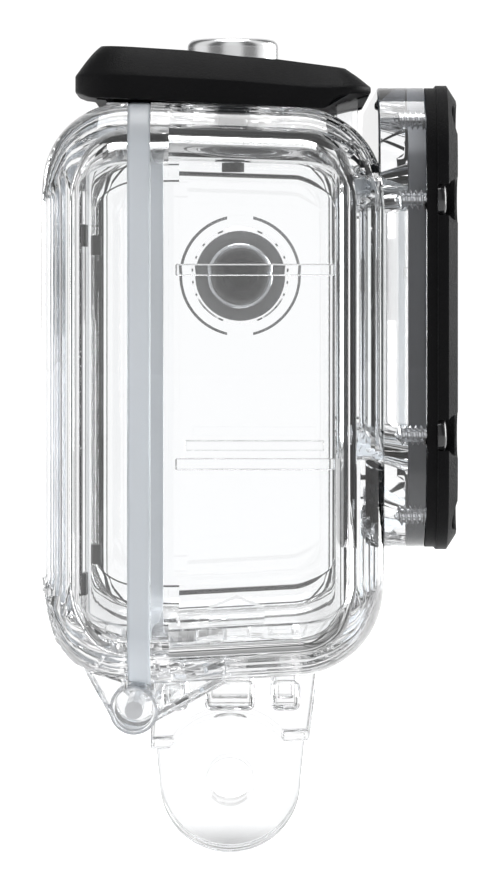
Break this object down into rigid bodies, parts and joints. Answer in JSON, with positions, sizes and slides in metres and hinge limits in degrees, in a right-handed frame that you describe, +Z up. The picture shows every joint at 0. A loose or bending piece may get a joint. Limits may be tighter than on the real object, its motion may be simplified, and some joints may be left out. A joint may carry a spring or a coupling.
{
  "type": "waterproof action camera housing",
  "caption": "Clear waterproof housing for an action camera: hinged gasketed rear door, top latch, screwed front window bezel, push buttons and a two-finger mount.",
  "frame": {"origin": "centre of the cross bore of the two mounting fingers", "axes": "+X along the cross bore towards the side button, -Y out of the front window, +Y out of the rear door, +Z up through the body"},
  "size_m": [0.0835, 0.0417, 0.0879],
  "materials": {
    "clear_plastic": "clear polycarbonate, polished",
    "window_glass": "clear optical glass",
    "gasket_silicone": "frosted translucent silicone",
    "seal_rubber": "grey silicone",
    "black_textured": "black plastic, fine texture",
    "black_rubber": "black rubber",
    "grey_plastic": "dark grey plastic",
    "brushed_metal": "satin turned metal",
    "steel": "bright stainless steel"
  },
  "bodies": {
    "housing": {"front_shell": "clear_plastic", "mount_foot": "clear_plastic", "port_seal": "seal_rubber", "port_glass": "window_glass", "front_bezel": "black_textured", "bezel_screws": "steel", "hinge_pins": "steel", "latch_pin": "steel", "shutter_bush": "grey_plastic", "side_bush": "grey_plastic", "shutter_spring": "steel", "side_spring": "steel"},
    "door": {"rear_door": "clear_plastic", "door_gasket": "gasket_silicone", "door_pads": "black_rubber"},
    "latch": {"latch_lever": "black_textured"},
    "shutter_button": {"shutter_cap": "brushed_metal", "shutter_plunger": "steel", "shutter_orings": "black_rubber", "shutter_clip": "steel", "shutter_tip": "black_rubber"},
    "side_button": {"side_cap": "grey_plastic", "side_plunger": "steel", "side_orings": "black_rubber", "side_clip": "steel", "side_tip": "black_rubber"}
  },
  "joints": [
    {"name": "door_hinge", "type": "hinge", "parent": "housing", "child": "door", "pos_m": [0, 0.0095, 0.0102], "axis": [-1, 0, 0], "range_deg": [0, 110]},
    {"name": "latch_pivot", "type": "hinge", "parent": "housing", "child": "latch", "pos_m": [0, -0.012, 0.0732], "axis": [1, 0, 0], "range_deg": [0, 95]},
    {"name": "shutter_press", "type": "slide", "parent": "housing", "child": "shutter_button", "axis": [0, 0, -1], "range_m": [0, 0.0015], "stiffness_N_per_m": 900, "springref_m": -0.002, "deforming": ["shutter_spring"]},
    {"name": "side_press", "type": "slide", "parent": "housing", "child": "side_button", "axis": [-1, 0, 0], "range_m": [0, 0.0015], "stiffness_N_per_m": 900, "springref_m": -0.002, "deforming": ["side_spring"]}
  ]
}
